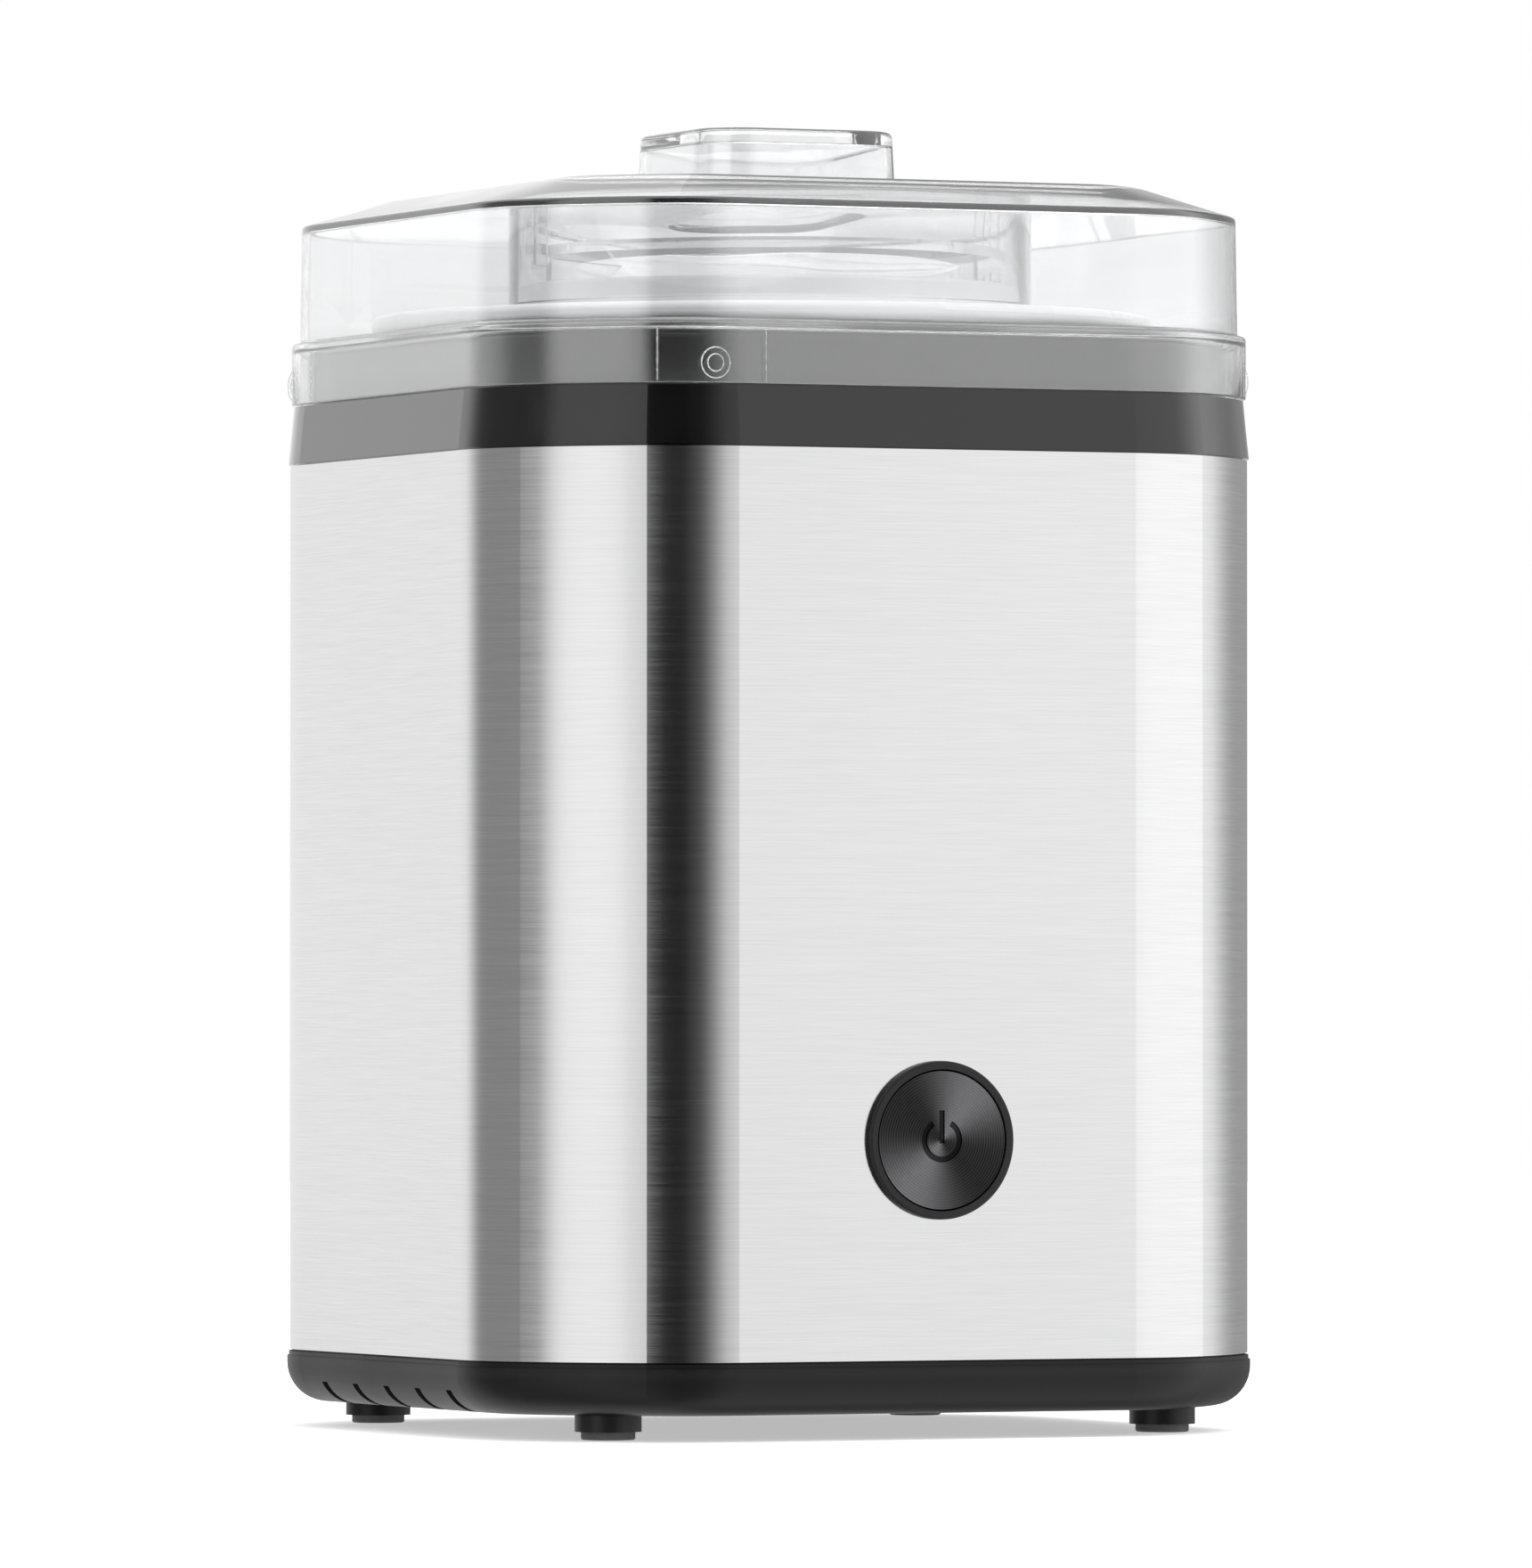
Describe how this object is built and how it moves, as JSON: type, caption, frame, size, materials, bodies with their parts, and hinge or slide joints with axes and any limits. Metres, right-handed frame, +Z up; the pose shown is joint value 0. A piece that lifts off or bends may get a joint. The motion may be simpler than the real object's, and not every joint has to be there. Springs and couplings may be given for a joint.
{
  "type": "ice cream maker",
  "caption": "Countertop ice cream maker with a geared base that turns a freezer bowl, a clear lid that holds the paddle, a feed cap and a push button.",
  "frame": {"origin": "on the floor under the centre of the body, at the bottom of the rubber feet", "axes": "+Z up, -Y out of the front face with the button, +X to the right seen from the front"},
  "size_m": [0.1912, 0.1896, 0.2932],
  "materials": {
    "brushed_steel": "fine horizontal brush lines, satin",
    "black_band": "black moulded plastic, soft gloss",
    "black_base": "black moulded plastic, satin",
    "clear_plastic": "crystal clear moulded plastic, polished",
    "white_plastic": "white moulded plastic, gloss",
    "bowl_aluminium": "spun aluminium, satin",
    "cooling_gel": "frozen gel, sealed in the bowl",
    "grey_rubber": "grey rubber, matt",
    "black_rubber": "black rubber, matt",
    "black_metal": "spun black metal, fine rings",
    "bezel_black": "black moulded plastic, gloss",
    "machine_steel": "ground steel",
    "screw_steel": "zinc plated steel",
    "gear_nylon": "natural nylon",
    "housing_grey": "grey moulded plastic",
    "liner_black": "black moulded plastic",
    "bush_bronze": "sintered bronze",
    "copper_winding": "enamelled copper wire",
    "motor_steel": "zinc plated steel can",
    "circuit_green": "solder mask green",
    "part_black": "moulded electrical parts",
    "wire_black": "insulated wire"
  },
  "bodies": {
    "base": {"base_tray": "black_base", "rubber_feet": "grey_rubber", "foot_cups": "black_base", "tray_screws": "screw_steel", "tie_posts": "housing_grey", "steel_sleeve": "brushed_steel", "upper_ring": "black_band", "well_liner": "liner_black", "liner_screws": "screw_steel", "gearbox_case": "housing_grey", "gearbox_cover": "housing_grey", "gearbox_screws": "screw_steel", "output_bushes": "bush_bronze", "shaft_seal": "black_rubber", "axle_pin": "machine_steel", "motor_windings": "copper_winding", "motor_can": "motor_steel", "motor_end_plate": "motor_steel", "motor_screws": "screw_steel", "button_bezel": "bezel_black", "button_spring": "machine_steel", "switch_body": "part_black", "switch_screws": "screw_steel", "cord_gland": "black_rubber", "circuit_board": "circuit_green", "board_parts": "part_black", "board_screws": "screw_steel", "internal_wires": "wire_black"},
    "bowl_drive": {"output_gear": "gear_nylon", "output_shaft": "machine_steel", "shaft_clips": "machine_steel", "drive_coupler": "part_black"},
    "reduction": {"reduction_gear": "gear_nylon"},
    "rotor": {"motor_pinion": "bush_bronze", "motor_shaft": "machine_steel", "motor_rotor": "motor_steel"},
    "bowl": {"bowl_outer_shell": "white_plastic", "bowl_rim": "white_plastic", "bowl_inner_pot": "bowl_aluminium", "coolant_fill": "cooling_gel", "bowl_seals": "black_rubber", "bowl_drive_socket": "part_black"},
    "lid": {"lid": "clear_plastic"},
    "cap": {"ingredient_cap": "clear_plastic"},
    "paddle": {"paddle": "clear_plastic"},
    "button": {"button_face": "black_metal", "button_stem": "part_black", "switch_plunger": "part_black"}
  },
  "joints": [
    {"name": "bowl_turn", "type": "hinge", "parent": "base", "child": "bowl_drive", "pos_m": [0, 0, 0.075], "axis": [0, 0, 1], "continuous": true},
    {"name": "reduction_turn", "type": "hinge", "parent": "base", "child": "reduction", "pos_m": [0, 0.0525, 0.07], "axis": [0, 0, 1], "continuous": true},
    {"name": "rotor_turn", "type": "hinge", "parent": "base", "child": "rotor", "pos_m": [-0.018, 0.02132, 0.045], "axis": [0, 0, 1], "continuous": true},
    {"name": "lid_lift", "type": "slide", "parent": "base", "child": "lid", "axis": [0, 0, 1], "range_m": [0, 0.42]},
    {"name": "cap_lift", "type": "slide", "parent": "lid", "child": "cap", "axis": [0, 0, 1], "range_m": [0, 0.06]},
    {"name": "bowl_lift", "type": "slide", "parent": "bowl_drive", "child": "bowl", "axis": [0, 0, 1], "range_m": [0, 0.17]},
    {"name": "paddle_lift", "type": "slide", "parent": "base", "child": "paddle", "axis": [0, 0, 1], "range_m": [0, 0.35]},
    {"name": "power_press", "type": "slide", "parent": "base", "child": "button", "axis": [0, 1, 0], "range_m": [0, 0.0018], "stiffness_N_per_m": 400, "springref_m": -0.001, "deforming": ["button_spring"]}
  ],
  "couplings": [
    {"joint": "reduction_turn", "follows": "bowl_turn", "ratio": -5},
    {"joint": "rotor_turn", "follows": "bowl_turn", "ratio": 25},
    {"joint": "bowl_lift", "follows": "lid_lift", "ratio": 0.4},
    {"joint": "paddle_lift", "follows": "lid_lift", "ratio": 0.82}
  ]
}
